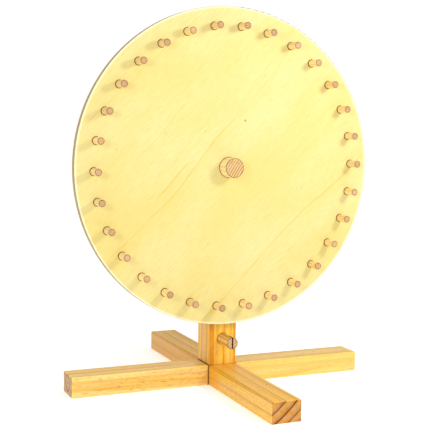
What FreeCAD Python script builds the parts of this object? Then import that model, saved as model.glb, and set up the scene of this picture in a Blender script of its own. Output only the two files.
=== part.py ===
import FreeCAD, Part
import os
import Sketcher

# Circular peg loom on a cross-shaped stand.
#
# Frame: millimetres, +Z up. The origin is on the floor at the centre of the two crossed foot rails.
# The peg side of the wheel faces -Y, and the wheel turns about a line parallel to Y.

doc = FreeCAD.newDocument("peg_loom")

# ---------------------------------------------------------------- driving dimensions

SIZES = [
    ("timber_width", 38, "side of the post and width of both rails"),
    ("rail_length", 400, "each foot rail, end to end"),
    ("rail_height", 26, "each foot rail"),
    ("edge_round", 1.5, "eased edges of rails and post"),
    ("lap_gap", 0.1, "each side of the half-lap notch"),
    ("wheel_diameter", 400, "plywood wheel"),
    ("wheel_thickness", 10, "plywood wheel"),
    ("wheel_clearance", 55, "rail top to the wheel's lowest point"),
    ("rim_round", 1, "eased rim of the wheel"),
    ("post_overrun", 35, "post above the axle's centre line"),
    ("peg_count", 30, "pegs in the ring"),
    ("peg_inset", 24, "wheel rim to a peg's centre line"),
    ("peg_diameter", 9, "free part of a peg"),
    ("peg_length", 20, "free part of a peg"),
    ("peg_tenon", 8, "diameter of a peg's glued end"),
    ("peg_phase", 4.8, "degrees clockwise from the top to the first peg"),
    ("dowel_chamfer", 0.7, "free ends of pegs, axle and yarn holder"),
    ("axle_diameter", 25, "free front end of the axle"),
    ("axle_length", 19, "free front end of the axle"),
    ("journal_diameter", 20, "axle in the wheel and the post"),
    ("running_gap", 0.08, "radial, journal in the post's bore"),
    ("glue_gap", 0.05, "radial, round every glued or screwed shank"),
    ("side_play", 0.3, "spacer to post"),
    ("end_play", 0.4, "end washer to post"),
    ("spacer_thickness", 1.2, "ring between wheel and post"),
    ("spacer_border", 7, "ring width of the spacer"),
    ("spacer_gap", 0.3, "radial, spacer on the journal"),
    ("holder_height", 33.5, "rail top to the yarn holder's centre line"),
    ("holder_diameter", 15, "free part of the yarn holder"),
    ("holder_length", 31, "free part of the yarn holder"),
    ("holder_tenon", 12, "diameter of the yarn holder's glued end"),
    ("holder_depth", 20, "glued end of the yarn holder"),
    ("slot_width", 1.8, "saw cut in the yarn holder"),
    ("slot_depth", 10, "saw cut in the yarn holder"),
    ("post_screw_diameter", 4.5, "shank"),
    ("post_screw_head", 9, "countersunk head"),
    ("post_screw_sink", 0.5, "head below the rail's underside"),
    ("post_screw_grip", 22, "length in the post"),
    ("post_screw_spacing", 20, "between the two screws"),
    ("end_washer_diameter", 32, "steel washer behind the post"),
    ("end_washer_thickness", 2, "steel washer behind the post"),
    ("end_screw_diameter", 5, "shank"),
    ("end_screw_head", 10, "pan head"),
    ("end_screw_head_height", 3.4, "pan head"),
    ("end_screw_grip", 28, "length in the axle"),
    ("screw_tip", 5, "pointed end of every screw"),
    ("recess_width", 1.2, "arm of the cross recess"),
    ("recess_span", 4.4, "cross recess, end to end"),
    ("recess_depth", 1.8, "cross recess"),
    ("drill_overrun", 1, "blind holes below what they hold"),
]

sheet = doc.addObject("Spreadsheet::Sheet", "sizes")
for row, (name, value, meaning) in enumerate(SIZES, start=1):
    sheet.set(f"A{row}", name)
    sheet.set(f"B{row}", str(value))
    sheet.setAlias(f"B{row}", name)
    sheet.set(f"C{row}", meaning)
doc.recompute()

# Levels and places that several pieces share, each as an expression on the sheet.
AXLE_HEIGHT = "(sizes.rail_height + sizes.wheel_clearance + sizes.wheel_diameter / 2)"
POST_LENGTH = "(sizes.wheel_clearance + sizes.wheel_diameter / 2 + sizes.post_overrun)"
POST_HALF = "(sizes.timber_width / 2)"
SPACER_FRONT = f"({POST_HALF} + sizes.side_play + sizes.spacer_thickness)"
PEG_RADIUS = "(sizes.wheel_diameter / 2 - sizes.peg_inset)"
FORWARD = "rotation(vector(1; 0; 0); 90)"
BACKWARD = "rotation(vector(1; 0; 0); -90)"
UPRIGHT = "rotation(vector(0; 0; 1); 0)"


# ---------------------------------------------------------------- small modelling steps

def new_body(label):
    body = doc.addObject("PartDesign::Body", label)
    body.Label = label
    return body


def origin_feature(body, role):
    return next(f for f in body.Origin.OriginFeatures if f.Role == role)


def new_sketch(body, role="XY_Plane", level=None):
    """A sketch on one of the body's own planes, or level millimetres along that plane's normal."""
    sketch = body.newObject("Sketcher::SketchObject", "sketch")
    sketch.AttachmentSupport = (origin_feature(body, role), [""])
    sketch.MapMode = "FlatFace"
    if level:
        sketch.setExpression("AttachmentOffset.Base.z", level)
    return sketch


def drive(sketch, constraint, name, expression):
    """Adds a dimension to the sketch and ties it to the sheet."""
    index = sketch.addConstraint(constraint)
    sketch.renameConstraint(index, name)
    sketch.setExpression(f"Constraints.{name}", expression)


def draw_circle(sketch, diameter, side=None, up=None):
    """A circle on the sketch's origin, or moved off it to the side or up."""
    start = FreeCAD.Vector(1 if side else 0, 1 if up else 0, 0)
    circle = sketch.addGeometry(Part.Circle(start, FreeCAD.Vector(0, 0, 1), 1))
    drive(sketch, Sketcher.Constraint("Diameter", circle, 2), f"diameter{circle}", diameter)
    if side:
        drive(sketch, Sketcher.Constraint("DistanceX", -1, 1, circle, 3, 1), f"side{circle}", side)
    else:
        sketch.addConstraint(Sketcher.Constraint("PointOnObject", circle, 3, -2))
    if up:
        drive(sketch, Sketcher.Constraint("DistanceY", -1, 1, circle, 3, 1), f"up{circle}", up)
    else:
        sketch.addConstraint(Sketcher.Constraint("PointOnObject", circle, 3, -1))
    return circle


def draw_rectangle(sketch, width, height):
    """A rectangle centred on the sketch's origin."""
    corners = [FreeCAD.Vector(x, y, 0) for x, y in ((-1, -1), (1, -1), (1, 1), (-1, 1))]
    lines = [sketch.addGeometry(Part.LineSegment(corners[i], corners[(i + 1) % 4])) for i in range(4)]
    for i, line in enumerate(lines):
        sketch.addConstraint(Sketcher.Constraint("Coincident", line, 2, lines[(i + 1) % 4], 1))
        sketch.addConstraint(Sketcher.Constraint("Vertical" if i % 2 else "Horizontal", line))
    sketch.addConstraint(Sketcher.Constraint("Symmetric", lines[0], 1, lines[2], 1, -1, 1))
    name = f"{lines[0]}"
    drive(sketch, Sketcher.Constraint("DistanceX", lines[0], 1, lines[0], 2, 2), "width" + name, width)
    drive(sketch, Sketcher.Constraint("DistanceY", lines[1], 1, lines[1], 2, 2), "height" + name, height)


def draw_half_section(sketch, points):
    """A closed outline beside the vertical axis. Each point is its radius and its height, and a radius
    or height of None lies on the axis or on the base line."""
    count = len(points)
    start = [FreeCAD.Vector(1 if r else 0, 1 + i if z else 0, 0) for i, (r, z) in enumerate(points)]
    lines = [sketch.addGeometry(Part.LineSegment(start[i], start[(i + 1) % count])) for i in range(count)]
    for i, (radius, height) in enumerate(points):
        line = lines[i]
        sketch.addConstraint(Sketcher.Constraint("Coincident", lines[i - 1], 2, line, 1))
        if radius:
            drive(sketch, Sketcher.Constraint("DistanceX", -1, 1, line, 1, 1), f"radius{i}", radius)
        else:
            sketch.addConstraint(Sketcher.Constraint("PointOnObject", line, 1, -2))
        if height:
            drive(sketch, Sketcher.Constraint("DistanceY", -1, 1, line, 1, 1), f"height{i}", height)
        else:
            sketch.addConstraint(Sketcher.Constraint("PointOnObject", line, 1, -1))


def pad(body, sketch, length, symmetric=False):
    feature = body.newObject("PartDesign::Pad", "pad")
    feature.Profile = sketch
    feature.Midplane = symmetric
    feature.setExpression("Length", length)
    return feature


def check_cut(body, feature, volume_before):
    doc.recompute()
    if feature.Shape.Volume > volume_before - 1e-3:
        raise RuntimeError(f"{body.Label}: {feature.Name} removes nothing")


def pocket(body, sketch, depth=None, along_normal=False, symmetric=False):
    """Cuts against the sketch's normal, or along it, to a depth or right through."""
    doc.recompute()
    volume_before = body.Shape.Volume
    feature = body.newObject("PartDesign::Pocket", "pocket")
    feature.Profile = sketch
    feature.Reversed = along_normal
    feature.Midplane = symmetric
    if depth:
        feature.setExpression("Length", depth)
    else:
        feature.Type = "ThroughAll"
    check_cut(body, feature, volume_before)
    return feature


def ease(body, kind, size, wanted):
    """Rounds or chamfers those edges of the body for which wanted(edge) is true."""
    doc.recompute()
    base = body.Tip
    names = [f"Edge{i}" for i, edge in enumerate(base.Shape.Edges, start=1) if wanted(edge)]
    feature = body.newObject(f"PartDesign::{kind}", kind.lower())
    feature.Base = (base, names)
    feature.setExpression("Radius" if kind == "Fillet" else "Size", size)
    return feature


def place(body, side, front, height, turn=UPRIGHT):
    """Moves the body by its side, front and height distances from the origin. Front is towards -Y."""
    base = f"vector({side}; -{front}; {height})"
    body.setExpression("Placement", f"placement({base}; {turn})")


def is_circle(edge, diameter_name):
    radius = sheet.get(diameter_name) / 2
    return edge.Curve.TypeId == "Part::GeomCircle" and abs(edge.Curve.Radius - radius) < 1e-6


def is_at(edge, height):
    return abs(edge.BoundBox.ZMin - height) < 1e-6 and abs(edge.BoundBox.ZMax - height) < 1e-6


# ---------------------------------------------------------------- foot rails

def make_rail(label, along_x, notch_on_top):
    """One rail of the cross, with the half-lap notch across its middle and two screw holes there."""
    rail = new_body(label)
    plan = new_sketch(rail)
    length, width = "sizes.rail_length", "sizes.timber_width"
    draw_rectangle(plan, length if along_x else width, width if along_x else length)
    pad(rail, plan, "sizes.rail_height")
    ease(rail, "Fillet", "sizes.edge_round", lambda edge: True)

    notch_width = f"{width} + 2 * sizes.lap_gap"
    notch = new_sketch(rail, level="sizes.rail_height / 2")
    draw_rectangle(notch, notch_width if along_x else width, width if along_x else notch_width)
    pocket(rail, notch, along_normal=notch_on_top)
    return rail


def cut_screw_holes(body, diameter, depth=None):
    """Two plain holes from the body's underside upwards."""
    for turn in (1, -1):
        holes = new_sketch(body)
        draw_circle(holes, diameter, side="sizes.post_screw_spacing / 2")
        if turn < 0:
            holes.AttachmentOffset = FreeCAD.Placement(
                FreeCAD.Vector(), FreeCAD.Rotation(FreeCAD.Vector(0, 0, 1), 180))
        pocket(body, holes, depth, along_normal=True)


SCREW_HOLE = "sizes.post_screw_diameter + 2 * sizes.glue_gap"

lower_rail = make_rail("foot_rail_left_right", along_x=True, notch_on_top=True)
cut_screw_holes(lower_rail, SCREW_HOLE)

upper_rail = make_rail("foot_rail_front_back", along_x=False, notch_on_top=False)
cut_screw_holes(upper_rail, SCREW_HOLE)


def sink_screw_heads(rail):
    """The cone for each countersunk head, turned out of the rail's underside."""
    mouth = "sizes.post_screw_head / 2 + sizes.post_screw_sink + sizes.glue_gap"
    for turn in (0, 180):
        doc.recompute()
        volume_before = rail.Shape.Volume
        section = new_sketch(rail, "XZ_Plane")
        draw_half_section(section, [(None, None), (mouth, None), (None, mouth)])
        section.setExpression("AttachmentOffset.Base.x", "sizes.post_screw_spacing / 2"
                              if turn == 0 else "-sizes.post_screw_spacing / 2")
        cone = rail.newObject("PartDesign::Groove", "countersink")
        cone.Profile = section
        cone.ReferenceAxis = (section, ["V_Axis"])
        cone.Angle = 360
        check_cut(rail, cone, volume_before)


sink_screw_heads(lower_rail)

# ---------------------------------------------------------------- post

post = new_body("post")
post_plan = new_sketch(post)
draw_rectangle(post_plan, "sizes.timber_width", "sizes.timber_width")
pad(post, post_plan, POST_LENGTH)
ease(post, "Fillet", "sizes.edge_round", lambda edge: not is_at(edge, 0))

axle_bore = new_sketch(post, "XZ_Plane")
draw_circle(axle_bore, "sizes.journal_diameter + 2 * sizes.running_gap",
            up="sizes.wheel_clearance + sizes.wheel_diameter / 2")
pocket(post, axle_bore, "2 * sizes.timber_width", symmetric=True)

# The plane of this sketch lies on the post's front face.
holder_hole = new_sketch(post, "XZ_Plane", level=POST_HALF)
draw_circle(holder_hole, "sizes.holder_tenon + 2 * sizes.glue_gap", up="sizes.holder_height")
pocket(post, holder_hole, "sizes.holder_depth + sizes.drill_overrun")

cut_screw_holes(post, SCREW_HOLE, "sizes.post_screw_grip + sizes.drill_overrun")
place(post, "0", "0", "sizes.rail_height")


# ---------------------------------------------------------------- dowels

def make_dowel(label, tenon_diameter, tenon_length, diameter_name, free_length):
    """A round dowel on the body's Z axis: a thinner glued end first, then the thicker free end, which
    starts at a shoulder and ends in a chamfered tip."""
    dowel = new_body(label)
    tenon = new_sketch(dowel)
    draw_circle(tenon, tenon_diameter)
    pad(dowel, tenon, tenon_length)
    shoulder = new_sketch(dowel, level=tenon_length)
    draw_circle(shoulder, f"sizes.{diameter_name}")
    pad(dowel, shoulder, free_length)
    doc.recompute()
    tip = dowel.Shape.BoundBox.ZMax
    ease(dowel, "Chamfer", "sizes.dowel_chamfer",
         lambda edge: is_circle(edge, diameter_name) and is_at(edge, tip))
    return dowel


holder = make_dowel("yarn_holder", "sizes.holder_tenon", "sizes.holder_depth",
                    "holder_diameter", "sizes.holder_length")
slot = new_sketch(holder, level="sizes.holder_depth + sizes.holder_length")
draw_rectangle(slot, "sizes.slot_width", "2 * sizes.holder_diameter")
pocket(holder, slot, "sizes.slot_depth")
place(holder, "0", f"({POST_HALF} - sizes.holder_depth)",
      "(sizes.rail_height + sizes.holder_height)", FORWARD)

# The axle runs from just behind the post to its shoulder on the wheel's front face.
JOURNAL_LENGTH = f"({SPACER_FRONT} + sizes.wheel_thickness + {POST_HALF} + sizes.end_play)"
axle = make_dowel("axle", "sizes.journal_diameter", JOURNAL_LENGTH, "axle_diameter", "sizes.axle_length")
axle_pilot = new_sketch(axle)
draw_circle(axle_pilot, "sizes.end_screw_diameter + 2 * sizes.glue_gap")
pocket(axle, axle_pilot, "sizes.end_screw_grip + sizes.drill_overrun", along_normal=True)
place(axle, "0", f"(-{POST_HALF} - sizes.end_play)", AXLE_HEIGHT, FORWARD)

pegs = []
for number in range(int(sheet.get("peg_count"))):
    peg = make_dowel(f"peg_{number + 1:02d}", "sizes.peg_tenon", "sizes.wheel_thickness",
                     "peg_diameter", "sizes.peg_length")
    angle = f"(sizes.peg_phase + {number} * 360 / sizes.peg_count)"
    place(peg, f"({PEG_RADIUS} * sin({angle} * 1 deg))", SPACER_FRONT,
          f"({AXLE_HEIGHT} + {PEG_RADIUS} * cos({angle} * 1 deg))",
          f"{FORWARD} * rotation(vector(0; 0; 1); -{angle})")
    pegs.append(peg)

# ---------------------------------------------------------------- wheel

wheel = new_body("wheel_disc")
wheel_outline = new_sketch(wheel)
draw_circle(wheel_outline, "sizes.wheel_diameter")
draw_circle(wheel_outline, "sizes.journal_diameter + 2 * sizes.glue_gap")
pad(wheel, wheel_outline, "sizes.wheel_thickness")
ease(wheel, "Fillet", "sizes.rim_round", lambda edge: is_circle(edge, "wheel_diameter"))

first_hole = new_sketch(wheel)
draw_circle(first_hole, "sizes.peg_tenon + 2 * sizes.glue_gap", up=PEG_RADIUS)
peg_hole = pocket(wheel, first_hole, along_normal=True)
volume_with_one_hole = wheel.Shape.Volume

peg_holes = wheel.newObject("PartDesign::PolarPattern", "peg_holes")
peg_holes.Originals = [peg_hole]
peg_holes.Axis = (origin_feature(wheel, "Z_Axis"), [""])
peg_holes.Angle = 360
peg_holes.setExpression("Occurrences", "sizes.peg_count")
wheel.Tip = peg_holes
check_cut(wheel, peg_holes, volume_with_one_hole)
place(wheel, "0", SPACER_FRONT, AXLE_HEIGHT,
      f"{FORWARD} * rotation(vector(0; 0; 1); -sizes.peg_phase)")


# ---------------------------------------------------------------- rings on the journal

def make_ring(label, outer_diameter, inner_diameter, thickness):
    ring = new_body(label)
    plan = new_sketch(ring)
    draw_circle(plan, outer_diameter)
    draw_circle(plan, inner_diameter)
    pad(ring, plan, thickness)
    return ring


spacer_bore = "sizes.journal_diameter + 2 * sizes.spacer_gap"
spacer = make_ring("spacer_washer", f"{spacer_bore} + 2 * sizes.spacer_border", spacer_bore,
                   "sizes.spacer_thickness")
place(spacer, "0", f"({POST_HALF} + sizes.side_play)", AXLE_HEIGHT, FORWARD)

end_washer = make_ring("end_washer", "sizes.end_washer_diameter",
                       "sizes.end_screw_diameter + 2 * sizes.glue_gap", "sizes.end_washer_thickness")
place(end_washer, "0", f"(-{POST_HALF} - sizes.end_play)", AXLE_HEIGHT, BACKWARD)


# ---------------------------------------------------------------- screws

def cut_cross_recess(screw):
    """Two crossed slots in the flat of the head, at the body's origin plane."""
    for width, height in (("sizes.recess_width", "sizes.recess_span"),
                          ("sizes.recess_span", "sizes.recess_width")):
        arm = new_sketch(screw)
        draw_rectangle(arm, width, height)
        pocket(screw, arm, "sizes.recess_depth", along_normal=True)


def make_screw(label, head_section, shank_diameter, length):
    """A wood screw on the body's Z axis, from the top of its head at zero up to its point."""
    screw = new_body(label)
    section = new_sketch(screw, "XZ_Plane")
    shank = f"{shank_diameter} / 2"
    draw_half_section(section, [(None, None)] + head_section
                      + [(shank, f"{length} - sizes.screw_tip"), (None, length)])
    turned = screw.newObject("PartDesign::Revolution", "turned")
    turned.Profile = section
    turned.ReferenceAxis = (section, ["V_Axis"])
    turned.Angle = 360
    cut_cross_recess(screw)
    return screw


# The two screws that hold the crossed rails to the post's end grain, driven from below.
countersunk_head = [
    ("sizes.post_screw_head / 2", None),
    ("sizes.post_screw_diameter / 2", "(sizes.post_screw_head - sizes.post_screw_diameter) / 2"),
]
for label, side in (("post_screw_left", "-sizes.post_screw_spacing / 2"),
                    ("post_screw_right", "sizes.post_screw_spacing / 2")):
    post_screw = make_screw(label, countersunk_head, "sizes.post_screw_diameter",
                            "(sizes.rail_height - sizes.post_screw_sink + sizes.post_screw_grip)")
    place(post_screw, side, "0", "sizes.post_screw_sink")

# The screw in the back end of the axle, which keeps the end washer on.
pan_head = [
    ("sizes.end_screw_head / 2", None),
    ("sizes.end_screw_head / 2", "sizes.end_screw_head_height"),
    ("sizes.end_screw_diameter / 2", "sizes.end_screw_head_height"),
]
end_screw = make_screw("end_screw", pan_head, "sizes.end_screw_diameter",
                       "(sizes.end_screw_head_height + sizes.end_washer_thickness + sizes.end_screw_grip)")
ease(end_screw, "Fillet", "sizes.end_screw_head_height / 2",
     lambda edge: is_circle(edge, "end_screw_head") and is_at(edge, 0))
place(end_screw, "0", f"(-{POST_HALF} - sizes.end_play - sizes.end_washer_thickness"
      " - sizes.end_screw_head_height)", AXLE_HEIGHT, FORWARD)

# ---------------------------------------------------------------- checks and files

doc.recompute()
for item in doc.Objects:
    if {"Invalid", "Error"} & set(item.State):
        raise RuntimeError(f"{item.Name} failed: {item.State}")

bodies = [item for item in doc.Objects if item.TypeId == "PartDesign::Body"]
for body in bodies:
    if body.Shape.isNull() or not body.Shape.isValid() or len(body.Shape.Solids) != 1:
        raise RuntimeError(f"{body.Label} isn't one valid solid")

os.makedirs("parts", exist_ok=True)
for body in bodies:
    body.Shape.exportStep(f"parts/{body.Label}.step")
print(f"{len(bodies)} sub-parts written")
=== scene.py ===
import math
import random

import bmesh
import bpy
from mathutils import Matrix, Vector


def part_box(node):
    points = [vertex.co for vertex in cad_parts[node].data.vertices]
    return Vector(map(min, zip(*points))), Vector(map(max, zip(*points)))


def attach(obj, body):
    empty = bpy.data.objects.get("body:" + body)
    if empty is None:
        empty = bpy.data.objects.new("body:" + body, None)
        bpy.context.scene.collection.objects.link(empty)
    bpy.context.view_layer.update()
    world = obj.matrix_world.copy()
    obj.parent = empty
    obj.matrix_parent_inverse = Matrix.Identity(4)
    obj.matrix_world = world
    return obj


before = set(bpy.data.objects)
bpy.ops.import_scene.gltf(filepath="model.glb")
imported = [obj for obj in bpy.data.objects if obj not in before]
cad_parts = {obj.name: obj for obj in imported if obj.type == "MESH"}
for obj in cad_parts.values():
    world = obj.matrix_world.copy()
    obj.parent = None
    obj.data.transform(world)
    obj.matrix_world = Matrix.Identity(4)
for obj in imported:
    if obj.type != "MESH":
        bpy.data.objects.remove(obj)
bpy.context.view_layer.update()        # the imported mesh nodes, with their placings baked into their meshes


# Foot rails. Two equal lengths of planed pine, halved into each other at the middle so that their
# tops are level, with every arris eased by a fine sanding block. They are finished with one clear,
# warm satin varnish that lets the broad rings of the fast-grown timber show.

def shade(red, green, blue):
    """The linear colour of a paint-chart shade whose channels run from 0 to 255."""
    def linear(channel):
        share = channel / 255
        return share / 12.92 if share <= 0.04045 else ((share + 0.055) / 1.055) ** 2.4
    return (linear(red), linear(green), linear(blue), 1.0)


class Finish:
    """A material in the making. Each method adds one step and returns the socket that carries it on."""

    def __init__(self, name):
        self.material = bpy.data.materials.new(name)
        self.material.use_nodes = True
        self.nodes = self.material.node_tree.nodes
        self.links = self.material.node_tree.links
        self.surface = self.nodes["Principled BSDF"]
        where = self.nodes.new("ShaderNodeTexCoord")
        self.place = where.outputs["Object"]
        self.facing = where.outputs["Normal"]

    def feed(self, socket, value):
        """Links a socket to another one, or sets it to a plain value."""
        if isinstance(value, bpy.types.NodeSocket):
            self.links.new(value, socket)
        else:
            socket.default_value = value

    def step(self, kind, sockets, **choices):
        node = self.nodes.new(kind)
        for choice, value in choices.items():
            setattr(node, choice, value)
        for socket, value in sockets.items():
            self.feed(node.inputs[socket], value)
        return node

    def sum(self, operation, *values):
        return self.step("ShaderNodeMath", dict(enumerate(values)), operation=operation).outputs[0]

    def arrow(self, operation, first, second):
        node = self.step("ShaderNodeVectorMath", {0: first, 1: second}, operation=operation)
        return node.outputs["Value" if operation == "DOT_PRODUCT" else "Vector"]

    def length(self, vector):
        return self.step("ShaderNodeVectorMath", {0: vector}, operation="LENGTH").outputs["Value"]

    def laid(self, origin, turn):
        """Object coordinates measured from an origin along axes that are turned by Euler angles."""
        sockets = {"Vector": self.place, "Location": origin, "Rotation": turn}
        return self.step("ShaderNodeMapping", sockets, vector_type="TEXTURE").outputs[0]

    def cloud(self, place, size, detail=2.0):
        """Soft noise from about 0.3 to 0.7, whose lumps are about this many metres across."""
        sockets = {"Vector": place, "Scale": 1 / size, "Detail": detail}
        return self.step("ShaderNodeTexNoise", sockets).outputs["Fac"]

    def rise(self, value, start, end, low=0.0, high=1.0):
        """A smooth step from low to high while the value goes from start to end."""
        sockets = {"Value": value, "From Min": start, "From Max": end, "To Min": low, "To Max": high}
        return self.step("ShaderNodeMapRange", sockets, interpolation_type="SMOOTHSTEP").outputs[0]

    def blend(self, share, first, second):
        sockets = {0: share, 6: first, 7: second}
        return self.step("ShaderNodeMix", sockets, data_type="RGBA").outputs[2]

    def within(self, stretches, blur):
        """One inside a box that is given as {axis: (low, high)}, fading to nought over the blur."""
        parts = self.step("ShaderNodeSeparateXYZ", {0: self.place})
        inside = 1.0
        for axis, (low, high) in stretches.items():
            value = parts.outputs[axis]
            inside = self.sum("MULTIPLY", inside, self.rise(value, low - blur, low + blur))
            inside = self.sum("MULTIPLY", inside, self.rise(value, high - blur, high + blur, 1.0, 0.0))
        return inside

    def finished(self, colour, roughness, height, relief, **constants):
        """Joins the steps to the shader. Relief is the depth of the height pattern in metres."""
        self.feed(self.surface.inputs["Base Color"], colour)
        self.feed(self.surface.inputs["Roughness"], roughness)
        bump = self.step("ShaderNodeBump", {"Height": height, "Distance": relief, "Strength": 1.0})
        self.feed(self.surface.inputs["Normal"], bump.outputs[0])
        for socket, value in constants.items():
            self.surface.inputs[socket.replace("_", " ")].default_value = value
        return self.material


ALONG = {"X": (0, math.radians(90), 0), "Y": (math.radians(-90), 0, 0), "Z": (0, 0, 0)}
AXIS = {"X": (1, 0, 0), "Y": (0, 1, 0), "Z": (0, 0, 1)}


def timber(name, grain, pith, ring, side, end, lean=(0, 0), seed=0.0, flecks=0.5, streaks=1.0, edge_highlight=0.0,
           wobble=0.5, coat=0.12, stains=(), tip=None):
    """Solid wood cut from one log, so that its faces and its ends show the same growth rings.

    Grain is the axis that the fibres follow, pith a point on the log's core, ring the width of one
    year, and side and end are pairs of shades, summer wood after spring wood. Lean tilts the log,
    in degrees, and seed picks another stretch of it. Flecks and streaks are the strengths of the
    short resin dashes and of the veins and broad bands, and coat that of the gloss on the varnish.
    Edge highlight is how much paler the eased edges are painted, a painted highlight along them, and
    wobble how far the rings stray, in years.
    Stains are boxes, each with a shade, a share and a blur, where one broad year colours the wood,
    or where a painted shadow darkens the gap of a joint or the inside of a saw cut. Tip is the centre
    and the radius of a dowel whose end gets a brown ring round its chamfer, painted shade on that
    chamfer.
    """
    wood = Finish(name)
    turn = [a + math.radians(b) for a, b in zip(ALONG[grain], (lean[0], lean[1], 0))]
    log = wood.laid(pith, turn)
    shifted = wood.arrow("ADD", log, (seed, seed * 0.7, seed * 1.3))

    # growth rings about the core, a little uneven, each ending in a dark line of summer wood
    slow = wood.arrow("MULTIPLY", shifted, (1, 1, 0.12))
    wander = wood.step("ShaderNodeTexNoise", {"Vector": slow, "Scale": 30, "Detail": 1}).outputs["Color"]
    wander = wood.arrow("SUBTRACT", wander, (0.5, 0.5, 0.5))
    bent = wood.arrow("ADD", log, wood.arrow("MULTIPLY", wander, (wobble * ring, wobble * ring, 0)))
    from_core = wood.length(wood.arrow("MULTIPLY", bent, (1, 1, 0)))
    years = wood.sum("DIVIDE", from_core, ring)
    season = wood.sum("FRACT", years)
    ends = wood.rise(season, 0.96, 1.0, 1.0, 0.0)
    broad = wood.sum("MULTIPLY", wood.rise(season, 0.3, 0.95), ends)
    line = wood.sum("MULTIPLY", wood.rise(season, 0.72, 0.92), ends)
    luck = wood.step("ShaderNodeTexWhiteNoise", {"W": wood.sum("FLOOR", years)}, noise_dimensions="1D")
    strength = wood.rise(luck.outputs["Value"], 0.0, 1.0, 0.7, 1.0)
    on_side = wood.sum("ADD", wood.sum("MULTIPLY", broad, 0.25), wood.sum("MULTIPLY", line, 0.50))
    on_end = wood.sum("ADD", wood.sum("MULTIPLY", broad, 0.45), wood.sum("MULTIPLY", line, 0.60))

    # fibres, veins, broad streaks and short resin flecks, all drawn out along the grain
    moved = wood.arrow("ADD", bent, (seed, seed * 1.7, seed))
    fibre = wood.cloud(wood.arrow("MULTIPLY", moved, (1, 1, 0.02)), 0.0009, 3)
    vein = wood.cloud(wood.arrow("MULTIPLY", moved, (1, 1, 0.014)), 0.0024, 3)
    streak = wood.cloud(wood.arrow("MULTIPLY", moved, (1, 1, 0.03)), 0.007, 2)
    dash = wood.cloud(wood.arrow("MULTIPLY", moved, (1, 1, 0.16)), 0.0015, 1)
    dash = wood.rise(dash, 0.66, 0.73)
    patch = wood.cloud(wood.arrow("MULTIPLY", moved, (1, 1, 0.3)), 0.05, 2)
    grit = wood.cloud(wood.arrow("MULTIPLY", moved, (1, 1, 0.35)), 0.0018, 2)

    # the open ends drink more varnish, so they are darker and their rings stand out
    along = wood.arrow("DOT_PRODUCT", wood.facing, AXIS[grain])
    open_end = wood.rise(wood.sum("ABSOLUTE", along), 0.5, 0.9)
    veins = wood.rise(vein, 0.52, 0.66, 0.0, 0.5 * streaks)
    veined = wood.sum("ADD", wood.sum("MULTIPLY", on_side, strength), veins)
    long_grain = wood.blend(veined, shade(*side[0]), shade(*side[1]))
    end_grain = wood.blend(wood.sum("MULTIPLY", on_end, strength), shade(*end[0]), shade(*end[1]))
    end_grain = wood.blend(wood.rise(from_core, 0.0008, 0.0018, 0.8, 0.0), end_grain, shade(96, 56, 26))
    colour = wood.blend(open_end, long_grain, end_grain)
    tone = wood.rise(fibre, 0.3, 0.7, 0.94, 1.06)
    tone = wood.sum("ADD", tone, wood.rise(streak, 0.3, 0.7, 0.03 * streaks, -0.03 * streaks))
    tone = wood.sum("ADD", tone, wood.rise(patch, 0.3, 0.7, -0.03, 0.03))
    tone = wood.sum("ADD", tone, wood.rise(grit, 0.3, 0.7, 0.08, -0.08))
    # a painted highlight: the eased edges are made paler by the edge highlight share
    cubed = wood.arrow("MULTIPLY", wood.facing, wood.arrow("MULTIPLY", wood.facing, wood.facing))
    eased = wood.rise(wood.length(cubed), 0.80, 0.97, 1.0, 0.0)
    tone = wood.sum("ADD", tone, wood.sum("MULTIPLY", eased, edge_highlight))
    sockets = {"Color": colour, "Value": tone, "Saturation": wood.rise(streak, 0.3, 0.7, 0.95, 1.06)}
    colour = wood.step("ShaderNodeHueSaturation", sockets).outputs[0]
    colour = wood.blend(wood.sum("MULTIPLY", dash, 0.5 * flecks), colour, shade(126, 70, 20))
    # boxed stains: tones of the wood, and the painted shadows in joints and in a saw cut
    for stretches, stain, share, blur in stains:
        colour = wood.blend(wood.sum("MULTIPLY", wood.within(stretches, blur), share), colour, shade(*stain))
    if tip:
        centre, radius = tip
        # a brown ring of painted shade round the chamfer at the dowel's end
        out = wood.length(wood.arrow("MULTIPLY", wood.arrow("SUBTRACT", wood.place, centre), (1, 0, 1)))
        chamfer_shade_ring = wood.sum("MULTIPLY", wood.rise(out, radius - 0.0014, radius - 0.0008), open_end)
        colour = wood.blend(wood.sum("MULTIPLY", chamfer_shade_ring, 0.85), colour, shade(104, 60, 30))

    height = wood.sum("ADD", wood.sum("MULTIPLY", fibre, 0.5), wood.sum("MULTIPLY", line, 0.35))
    height = wood.sum("SUBTRACT", height, wood.sum("MULTIPLY", dash, 0.6))
    roughness = wood.sum("ADD", wood.rise(fibre, 0.3, 0.7, 0.40, 0.52), wood.sum("MULTIPLY", open_end, 0.15))
    return wood.finished(colour, roughness, height, 0.00012,
                         Specular_IOR_Level=0.3, Coat_Weight=coat, Coat_Roughness=0.28)


def give(node, material):
    """Puts a finish on a node of the frame, on every one of its slots."""
    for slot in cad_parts[node].material_slots:
        slot.material = material


RAIL_RING = 0.0106
LEFT_RIGHT_SIDE = ((240, 200, 110), (224, 162, 66))
FRONT_BACK_SIDE = ((236, 186, 82), (202, 134, 34))
LEFT_RIGHT_END = ((198, 158, 108), (130, 90, 58))
FRONT_BACK_END = ((204, 144, 66), (100, 40, 4))

# the width and the dark brown of the painted shadow in the joints' gaps; the pin knot shares the brown
JOINT_LINE = 0.0013
SEAM_SHADOW_AND_KNOT_BROWN = (78, 34, 8)
rail_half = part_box("foot_rail_front_back")[1].x
rail_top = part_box("foot_rail_front_back")[1].z


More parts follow.
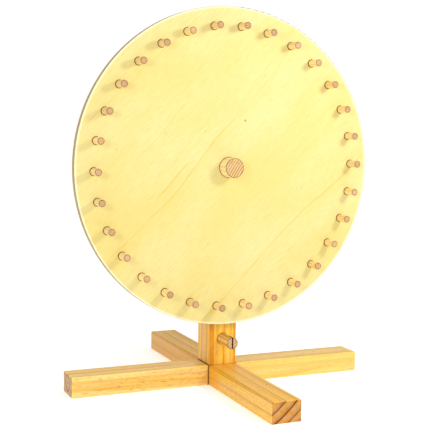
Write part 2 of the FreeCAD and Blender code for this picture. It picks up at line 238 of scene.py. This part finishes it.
def joint_shadow_lines(axis):
    """Painted shadow lines across a rail, one each side, in the gap where the other rail meets it."""
    gaps = [(-rail_half - JOINT_LINE, -rail_half), (rail_half, rail_half + JOINT_LINE)]
    return [({axis: gap}, SEAM_SHADOW_AND_KNOT_BROWN, 0.85, 0.0003) for gap in gaps]


# the pale sapwood of the right arm, the orange heart in front of the crossing, the greyer back arm,
# and one pin knot on top of the front arm
below_top = (-0.002, rail_top - 0.0015)
sapwood = ({"X": (rail_half + 0.004, 0.25), "Z": below_top}, (246, 212, 112), 0.4, 0.001)
heart = ({"Y": (-0.048, -rail_half)}, (236, 158, 30), 0.45, 0.005)
greyer_back_arm = ({"Y": (rail_half + 0.004, 0.25), "Z": below_top}, (198, 140, 72), 0.5, 0.001)
pin_knot = ({"X": (0.0085, 0.0102), "Y": (-0.1300, -0.1278), "Z": (0.020, 0.030)}, SEAM_SHADOW_AND_KNOT_BROWN, 0.9, 0.0003)

give("foot_rail_left_right", timber(
    "left to right rail pine", "X", (0, 0.0005, 0.0135), RAIL_RING, LEFT_RIGHT_SIDE, LEFT_RIGHT_END,
    lean=(0, 0.4), seed=0.31, flecks=0.9, streaks=0.8, edge_highlight=0.18, wobble=1.3,
    stains=joint_shadow_lines("X") + [sapwood]))
give("foot_rail_front_back", timber(
    "front to back rail pine", "Y", (-0.1267, 0, 0.1540), RAIL_RING, FRONT_BACK_SIDE, FRONT_BACK_END,
    seed=0.83, flecks=0.3, streaks=0.6, edge_highlight=0.08, stains=joint_shadow_lines("Y") + [heart, greyer_back_arm, pin_knot]))


# Post. One square length of the same pine, from a log with narrower rings and a deeper honey tone,
# standing on the crossing and held by two screws from below.

POST_SIDE = ((248, 200, 76), (220, 142, 30))
POST_END = ((196, 140, 70), (120, 66, 24))
post_low, post_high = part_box("post")
LEFT_SKIN = (post_low.x - 0.001, post_low.x + 0.001)
UPRIGHT = (post_low.z - 0.001, post_high.z - 0.0014)
# a painted shadow line along the foot of the post's left face, in the seam on the rails
left_seam_shadow = {"X": LEFT_SKIN, "Z": (rail_top - JOINT_LINE, rail_top + JOINT_LINE)}

# single broad years that show as upright stripes on the front and the left of the post
POST_YEARS = [
    ({"X": (-0.0185, -0.0120), "Z": UPRIGHT}, (216, 122, 4), 0.65, 0.0006),
    ({"X": (-0.0115, -0.0088), "Z": UPRIGHT}, (252, 214, 124), 0.55, 0.0004),
    ({"X": (0.0060, 0.0085), "Z": UPRIGHT}, (252, 212, 120), 0.40, 0.0006),
    ({"X": (0.0100, 0.0125), "Z": UPRIGHT}, (220, 140, 30), 0.40, 0.0006),
    ({"X": LEFT_SKIN, "Y": (-0.0015, 0.0070), "Z": UPRIGHT}, (204, 160, 124), 0.55, 0.0006),
    ({"X": LEFT_SKIN, "Y": (-0.0150, -0.0075), "Z": UPRIGHT}, (188, 130, 60), 0.50, 0.0006),
]

give("post", timber(
    "post pine", "Z", (0.030, -0.050, 0), 0.0085, POST_SIDE, POST_END,
    lean=(0.3, -0.2), seed=1.47, flecks=0.2, streaks=1.6, edge_highlight=0.05,
    stains=POST_YEARS + [(left_seam_shadow, SEAM_SHADOW_AND_KNOT_BROWN, 0.85, 0.0003)]))


# Post screws. Two countersunk wood screws of zinc plated steel, driven from the underside of the
# crossed rails up into the end grain of the post.

def zinc_plate():
    """Bright zinc with the faint cloudy bloom and fine tumbling marks of plated hardware."""
    metal = Finish("zinc plate")
    bloom = metal.cloud(metal.place, 0.004, 3)
    marks = metal.cloud(metal.arrow("MULTIPLY", metal.place, (1, 1, 0.2)), 0.0003, 2)
    colour = metal.blend(metal.rise(bloom, 0.35, 0.65), shade(196, 198, 200), shade(206, 202, 186))
    scuff = metal.rise(marks, 0.3, 0.7, 0, 0.08)
    roughness = metal.sum("ADD", metal.rise(bloom, 0.3, 0.7, 0.24, 0.36), scuff)
    return metal.finished(colour, roughness, marks, 0.00003, Metallic=1.0)


zinc = zinc_plate()
give("post_screw_left", zinc)
give("post_screw_right", zinc)


# Yarn holder. A short turned dowel glued into the front of the post, with one upright saw cut in
# its free end that grips the tail of the yarn.

HOLDER_SIDE = ((236, 188, 96), (194, 132, 50))
HOLDER_END = ((216, 180, 134), (150, 104, 62))

holder_low, holder_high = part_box("yarn_holder")
holder_centre = (holder_low + holder_high) / 2
SAW_CUT_DEPTH, SAW_CUT_REACH = 0.010, 0.0010
# the inside of the saw cut is painted near black, a painted shadow deep in the narrow slot
SAW_CUT_SHADOW = (34, 12, 14)
saw_cut_shadow = {"X": (-SAW_CUT_REACH, SAW_CUT_REACH), "Y": (holder_low.y - 0.001, holder_low.y + SAW_CUT_DEPTH)}
give("yarn_holder", timber(
    "yarn holder dowel", "Y", (0.018, 0, holder_centre.z - 0.022), 0.0030, HOLDER_SIDE, HOLDER_END,
    seed=2.2, flecks=0.8, coat=0.0, stains=[(saw_cut_shadow, SAW_CUT_SHADOW, 0.95, 0.0002)],
    tip=(holder_centre, holder_high.z - holder_centre.z)))


# Wheel. A disc of seven-ply, sanded smooth and left almost white under a matt clear coat, with its
# face grain set at a slant. Its drilled holes carry the axle and the ring of pegs.

wheel_low, wheel_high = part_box("wheel_disc")
wheel_centre = (wheel_low + wheel_high) / 2
wheel_radius = (wheel_high.x - wheel_low.x) / 2
PLIES = 7
PLY = (wheel_high.y - wheel_low.y) / PLIES
FACE_GRAIN = math.radians(42.6)
VENEER_SHIFT = 21.0
FACE_KNOT = (0.056, 0.0285, 0)
LINE_FADE = 0.008

# each long growth line is its place across the grain, its strength, the stretch along the grain
# where it shows, and its bends, each from one place to another with a sideways shift
GROWTH_LINES = [
    (0.025, 0.6, (-0.30, -0.100), []),
    (0.025, 1.0, (-0.100, 0.040), [(-0.090, 0.035, 0.015)]),
    (0.040, 0.25, (0.040, 0.30), [(0.070, 0.180, 0.015)]),
    (0.0375, 1.0, (-0.095, -0.035), [(-0.095, -0.035, 0.004)]),
    (-0.119, 0.9, (-0.30, 0.30), [(-0.120, 0.0, 0.005), (0.020, 0.120, -0.006)]),
    (0.091, 0.4, (-0.085, 0.015), [(-0.060, 0.015, 0.007)]),
    (-0.141, 0.4, (-0.055, 0.010), [(-0.055, 0.010, 0.002)]),
    (-0.084, 0.5, (-0.015, 0.005), []),
    (0.050, 0.3, (0.060, 0.150), [(0.060, 0.150, 0.012)]),
    (0.118, 0.2, (0.020, 0.120), []),
    (0.165, 0.4, (-0.10, 0.10), []),
    (0.290, 0.7, (-0.30, 0.30), [(-0.150, 0.050, 0.012), (0.060, 0.180, -0.010)]),
    (0.215, 0.5, (-0.12, 0.16), [(-0.100, 0.120, 0.008)]),
    (0.360, 0.4, (-0.30, 0.30), []),
]


def seven_ply():
    """Rotary-cut veneer with a few long growth lines, and crossed plies that show at the rim."""
    sheet = Finish("pale seven-ply")
    laid = sheet.laid((0, 0, wheel_centre.z), (0, -FACE_GRAIN, 0))
    depth = sheet.step("ShaderNodeSeparateXYZ", {0: sheet.place}).outputs["Y"]
    depth = sheet.sum("SUBTRACT", depth, wheel_low.y)
    parts = sheet.step("ShaderNodeSeparateXYZ", {0: laid})
    along, across = parts.outputs["X"], parts.outputs["Z"]

    # the back face shows another stretch of veneer, and both are crossed by a few long growth lines
    across_here = sheet.sum("ADD", across, sheet.sum("MULTIPLY", depth, VENEER_SHIFT))
    flat = sheet.step("ShaderNodeCombineXYZ", {"X": along, "Y": across_here}).outputs[0]
    wander = sheet.cloud(sheet.arrow("MULTIPLY", flat, (1, 1.6, 0)), 0.03, 2)
    wander = sheet.rise(wander, 0.0, 1.0, -0.001, 0.001)
    line, band = 0.0, 0.0
    for place, strength, (start, end), bends in GROWTH_LINES:
        past = sheet.sum("SUBTRACT", sheet.sum("ADD", across_here, wander), place)
        for bend_start, bend_end, shift in bends:
            past = sheet.sum("SUBTRACT", past, sheet.rise(along, bend_start, bend_end, 0.0, shift))
        shown = sheet.sum("MULTIPLY", sheet.rise(along, start - LINE_FADE, start + LINE_FADE),
                          sheet.rise(along, end - LINE_FADE, end + LINE_FADE, strength, 0.0))
        shown = sheet.sum("MULTIPLY", shown, sheet.rise(past, 0.0, 0.0008, 1.0, 0.0))
        line = sheet.sum("ADD", line, sheet.sum("MULTIPLY", sheet.rise(past, -0.0013, 0.0), shown))
        band = sheet.sum("ADD", band, sheet.sum("MULTIPLY", sheet.rise(past, -0.022, 0.0), shown))
    fade = sheet.rise(sheet.cloud(flat, 0.05, 2), 0.38, 0.62, 0.40, 0.85)

    # fine fibres, broad cloudy streaks and a few pin specks
    fibre = sheet.cloud(sheet.arrow("MULTIPLY", flat, (0.06, 1, 0)), 0.0026, 3)
    fuzz = sheet.cloud(sheet.arrow("MULTIPLY", flat, (0.12, 1, 0)), 0.0016, 2)
    streak = sheet.cloud(sheet.arrow("MULTIPLY", flat, (0.08, 1, 0)), 0.008, 4)
    patch = sheet.cloud(sheet.arrow("MULTIPLY", flat, (0.5, 1, 0)), 0.09, 2)
    pin = sheet.step("ShaderNodeTexVoronoi", {"Vector": flat, "Scale": 21.0}, voronoi_dimensions="2D")
    chosen = sheet.step("ShaderNodeSeparateXYZ", {0: pin.outputs["Color"]}).outputs["X"]
    speck = sheet.rise(pin.outputs["Distance"], 0.010, 0.016, 1.0, 0.0)
    speck = sheet.sum("MULTIPLY", speck, sheet.sum("LESS_THAN", chosen, 0.3))
    knot = sheet.length(sheet.arrow("SUBTRACT", flat, FACE_KNOT))
    speck = sheet.sum("MAXIMUM", speck, sheet.rise(knot, 0.0010, 0.0018, 1.0, 0.0))

    face = sheet.blend(sheet.rise(patch, 0.3, 0.7), shade(226, 213, 148), shade(224, 205, 125))
    face = sheet.blend(sheet.rise(streak, 0.40, 0.75, 0.0, 0.16), face, shade(222, 194, 108))
    face = sheet.blend(sheet.rise(fibre, 0.5, 0.68, 0.0, 0.28), face, shade(222, 194, 104))
    face = sheet.blend(sheet.rise(fuzz, 0.40, 0.65, 0.0, 0.20), face, shade(224, 200, 106))
    face = sheet.blend(sheet.sum("MULTIPLY", band, 0.25), face, shade(228, 198, 106))
    face = sheet.blend(sheet.sum("MULTIPLY", line, fade), face, shade(214, 178, 66))
    face = sheet.blend(sheet.sum("MULTIPLY", speck, 0.7), face, shade(140, 100, 50))

    # a painted highlight makes the outer rim of each face paler along its rounded corner, and at the rim
    # the plies whose fibres point outwards show dark open ends, and the others their pale sides
    layer = sheet.sum("DIVIDE", depth, PLY)
    odd = sheet.sum("MODULO", sheet.sum("FLOOR", sheet.sum("ADD", layer, 0.001)), 2.0)
    radius = sheet.sum("ADD", sheet.length(sheet.arrow("MULTIPLY", laid, (1, 0, 1))), 0.0001)
    face_rim_highlight = sheet.rise(radius, wheel_radius - 0.0030, wheel_radius - 0.0016)
    face = sheet.blend(sheet.sum("MULTIPLY", face_rim_highlight, 0.7), face, shade(250, 240, 204))
    outward = sheet.sum("POWER", sheet.sum("DIVIDE", along, radius), 2.0)
    sideways = sheet.sum("SUBTRACT", 1.0, outward)
    cut = sheet.sum("ADD", sheet.sum("MULTIPLY", outward, sheet.sum("SUBTRACT", 1.0, odd)),
                    sheet.sum("MULTIPLY", sideways, odd))
    edge_fibre = sheet.cloud(sheet.arrow("MULTIPLY", laid, (1, 3, 1)), 0.0012, 3)
    rim = sheet.blend(sheet.rise(cut, 0.1, 0.9), shade(198, 180, 122), shade(148, 120, 74))
    within = sheet.sum("FRACT", sheet.sum("ADD", layer, 0.5))
    from_glue = sheet.sum("ABSOLUTE", sheet.sum("SUBTRACT", within, 0.5))
    glue_line_and_shadow_ring = sheet.sum("SUBTRACT", 1.0, sheet.rise(from_glue, 0.02, 0.07))
    rim = sheet.blend(sheet.sum("MULTIPLY", glue_line_and_shadow_ring, 0.6), rim, shade(110, 76, 44))
    level = sheet.step("ShaderNodeSeparateXYZ", {0: sheet.facing}).outputs["Y"]
    on_rim = sheet.rise(sheet.sum("ABSOLUTE", level), 0.5, 0.85, 1.0, 0.0)

    tone = sheet.sum("ADD", sheet.rise(fibre, 0.3, 0.7, 0.98, 1.02), sheet.rise(fuzz, 0.3, 0.7, 0.03, -0.03))
    rough_edge = sheet.rise(edge_fibre, 0.3, 0.7, -0.07, 0.07)
    tone = sheet.sum("ADD", tone, sheet.sum("MULTIPLY", on_rim, rough_edge))
    colour = sheet.blend(on_rim, face, rim)
    colour = sheet.step("ShaderNodeHueSaturation", {"Color": colour, "Value": tone}).outputs[0]
    height = sheet.sum("SUBTRACT", fibre, sheet.sum("MULTIPLY", on_rim, sheet.sum("MULTIPLY", glue_line_and_shadow_ring, 0.8)))
    roughness = sheet.rise(streak, 0.3, 0.7, 0.50, 0.60)
    return sheet.finished(colour, roughness, height, 0.00008, Specular_IOR_Level=0.25)


give("wheel_disc", seven_ply())


# Pegs. Thirty short dowels sawn from the same rods, their ends chamfered, tapped into the wheel and
# glued. Each was cut from another place in a rod, so its grain and tone are its own.

PEG_SIDE = ((248, 220, 156), (232, 188, 114))
PEG_END = ((214, 170, 122), (150, 98, 62))
PEG_COUNT = 30

random.seed(7)
for number in range(1, PEG_COUNT + 1):
    low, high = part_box(f"peg_{number:02d}")
    centre = (low + high) / 2
    turn = random.uniform(0, math.tau)
    away = random.uniform(0.004, 0.016)
    core = (centre.x + away * math.cos(turn), 0, centre.z + away * math.sin(turn))
    warmth = random.uniform(0.93, 1.03)
    side = [tuple(min(255, c * warmth) for c in tint) for tint in PEG_SIDE]
    paleness = random.uniform(0.92, 1.05)
    end = [tuple(min(255, c * paleness) for c in tint) for tint in PEG_END]
    give(f"peg_{number:02d}", timber(
        f"peg dowel {number:02d}", "Y", core, random.uniform(0.0014, 0.0024), side, end,
        seed=number * 0.37, flecks=0.2, coat=0.0, tip=(centre, (high.x - low.x) / 2)))


# Shadow rings. A thin dark amber fillet round the foot of each dowel, painted shade that stands
# for the contact shadow where the dowel meets the face.

PEG_SHADOW_RING, AXLE_SHADOW_RING, HOLDER_SHADOW_RING = 0.0011, 0.0009, 0.0007
INTO_DOWEL, INTO_FACE = 0.0001, 0.0002
RING_STEPS = 40


def shadow_ring(mesh, centre, radius, leg):
    """One concave fillet of painted shadow round a dowel that stands out of a face to the front."""
    hollow = 0.3 * leg
    profile = [(radius - INTO_DOWEL, INTO_FACE), (radius + leg, INTO_FACE), (radius + hollow, -hollow),
               (radius - INTO_DOWEL, -leg)]
    corners = [mesh.verts.new(centre + Vector((across, out, 0))) for across, out in profile]
    edges = [mesh.edges.new((a, b)) for a, b in zip(corners, corners[1:] + corners[:1])]
    bmesh.ops.spin(mesh, geom=corners + edges, cent=centre, axis=(0, 1, 0), dvec=(0, 0, 0),
                   angle=math.tau, steps=RING_STEPS, use_merge=True, use_duplicate=False)


def painted_shadow_finish():
    """A dark amber brown that paints the contact shadow, mottled with darker lumps."""
    glue_line_and_shadow_ring = Finish("painted contact shadow")
    lumps = glue_line_and_shadow_ring.cloud(glue_line_and_shadow_ring.place, 0.0016, 2)
    colour = glue_line_and_shadow_ring.blend(glue_line_and_shadow_ring.rise(lumps, 0.35, 0.65), shade(124, 74, 26), shade(84, 44, 12))
    return glue_line_and_shadow_ring.finished(colour, glue_line_and_shadow_ring.rise(lumps, 0.3, 0.7, 0.4, 0.6), lumps, 0.0001, Specular_IOR_Level=0.3)


def shadow_ring_piece(name, body, shadow_rings):
    """Makes one piece of all the painted shadow rings round the dowels of a body."""
    mesh = bmesh.new()
    for centre, radius, leg in shadow_rings:
        shadow_ring(mesh, centre, radius, leg)
    bmesh.ops.remove_doubles(mesh, verts=mesh.verts, dist=0.00001)
    bmesh.ops.recalc_face_normals(mesh, faces=mesh.faces)
    for face in mesh.faces:
        face.smooth = True
    data = bpy.data.meshes.new(name)
    mesh.to_mesh(data)
    mesh.free()
    data.materials.append(shadow_ring_finish)
    piece = bpy.data.objects.new(name, data)
    bpy.context.scene.collection.objects.link(piece)
    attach(piece, body)


# dark rings of painted contact shadow round the pegs, the axle and the yarn holder
shadow_ring_finish = painted_shadow_finish()
peg_feet = []
for number in range(1, PEG_COUNT + 1):
    low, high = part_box(f"peg_{number:02d}")
    foot = Vector(((low.x + high.x) / 2, wheel_low.y, (low.z + high.z) / 2))
    peg_feet.append((foot, (high.x - low.x) / 2, PEG_SHADOW_RING))
axle_low, axle_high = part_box("axle")
axle_radius = (axle_high.x - axle_low.x) / 2
axle_foot = Vector((0, wheel_low.y, (axle_low.z + axle_high.z) / 2))
shadow_ring_piece("wheel_shadow_rings", "wheel", peg_feet + [(axle_foot, axle_radius, AXLE_SHADOW_RING)])
holder_radius = (holder_high.x - holder_low.x) / 2
holder_foot = Vector((holder_centre.x, post_low.y, holder_centre.z))
shadow_ring_piece("holder_shadow_ring", "stand", [(holder_foot, holder_radius, HOLDER_SHADOW_RING)])


# Axle. A thick turned dowel, glued through the middle of the wheel, whose thinner back half turns
# in the post. The spacer ring of hard, waxed wood keeps the wheel off the post.

AXLE_SIDE = ((250, 228, 168), (238, 200, 132))
AXLE_END = ((220, 182, 122), (112, 54, 12))
give("axle", timber(
    "axle dowel", "Y", (0.084, 0, axle_foot.z - 0.054), 0.0031, AXLE_SIDE, AXLE_END,
    seed=3.3, flecks=0.1, coat=0.0, tip=(axle_foot, axle_radius)))

SPACER_SIDE = ((190, 140, 92), (150, 98, 58))
give("spacer_washer", timber(
    "spacer hardwood", "X", (0, 0.020, axle_foot.z + 0.030), 0.0016, SPACER_SIDE, SPACER_SIDE,
    seed=4.1, flecks=0.6))


# End washer and screw. A zinc plated penny washer and a cross-recess screw close the back of the
# axle so that the wheel can't slip off the front.

give("end_washer", zinc)
give("end_screw", zinc)


# Room. A wide pale floor under an even white sky, a small soft lamp at the front right that throws
# the pegs' faint shadows to the lower left, and a broader one further off at the front left.

FLOOR_HALF = 12.0
FLOOR_GLOW = 0.36


def pale_floor():
    """A large matt white light table, whose faint glow fills the shadows."""
    top = Finish("white light table")
    mottle = top.cloud(top.place, 0.02, 2)
    colour = top.blend(mottle, (0.89, 0.89, 0.89, 1), (0.91, 0.91, 0.91, 1))
    return top.finished(colour, 0.8, mottle, 0.00002, Specular_IOR_Level=0.1,
                        Emission_Color=(1, 1, 1, 1), Emission_Strength=FLOOR_GLOW)


floor_mesh = bmesh.new()
bmesh.ops.create_grid(floor_mesh, x_segments=2, y_segments=2, size=FLOOR_HALF)
floor_data = bpy.data.meshes.new("floor")
floor_mesh.to_mesh(floor_data)
floor_mesh.free()
floor_data.materials.append(pale_floor())
floor = bpy.data.objects.new("floor", floor_data)
bpy.context.scene.collection.objects.link(floor)

SKY_LIGHT, SKY_SEEN = 0.75, 1.0
sky = bpy.data.worlds.new("white sky")
sky.use_nodes = True
backdrop = sky.node_tree.nodes["Background"]
backdrop.inputs["Color"].default_value = (1, 1, 1, 1)
rays = sky.node_tree.nodes.new("ShaderNodeLightPath")
strength = sky.node_tree.nodes.new("ShaderNodeMapRange")
strength.inputs["To Min"].default_value = SKY_LIGHT
strength.inputs["To Max"].default_value = SKY_SEEN
sky.node_tree.links.new(rays.outputs["Is Camera Ray"], strength.inputs["Value"])
sky.node_tree.links.new(strength.outputs[0], backdrop.inputs["Strength"])
bpy.context.scene.world = sky


def soft_lamp(name, place, aim, width, watts):
    """A square soft box that hangs at a place and faces a point."""
    light = bpy.data.lights.new(name, "AREA")
    light.size = width
    light.energy = watts
    lamp = bpy.data.objects.new(name, light)
    lamp.matrix_world = Matrix.Translation(place) @ (Vector(aim) - Vector(place)).to_track_quat(
        "-Z", "Y").to_matrix().to_4x4()
    bpy.context.scene.collection.objects.link(lamp)


soft_lamp("lamp right", (0.34, -0.54, 0.56), wheel_centre, 0.14, 2.0)
soft_lamp("lamp left", (-0.72, -0.72, 0.48), wheel_centre, 0.22, 2.0)

view = bpy.context.scene.view_settings
view.view_transform = "Standard"

FOCAL_LENGTH, FILM_WIDTH = 83.55, 36.0
CAMERA_PLACE = (-0.51563, -1.17555, 0.34198)
CAMERA_TURN, CAMERA_DIP, CAMERA_ROLL = math.radians(-23.489), math.radians(5.522), math.radians(0.739)

lens = bpy.data.cameras.new("camera")
lens.lens = FOCAL_LENGTH
lens.sensor_width = FILM_WIDTH
camera = bpy.data.objects.new("camera", lens)
camera.matrix_world = (
    Matrix.Translation(CAMERA_PLACE)
    @ Matrix.Rotation(CAMERA_TURN, 4, "Z")
    @ Matrix.Rotation(math.radians(90) - CAMERA_DIP, 4, "X")
    @ Matrix.Rotation(CAMERA_ROLL, 4, "Z")
)
bpy.context.scene.collection.objects.link(camera)
bpy.context.scene.camera = camera
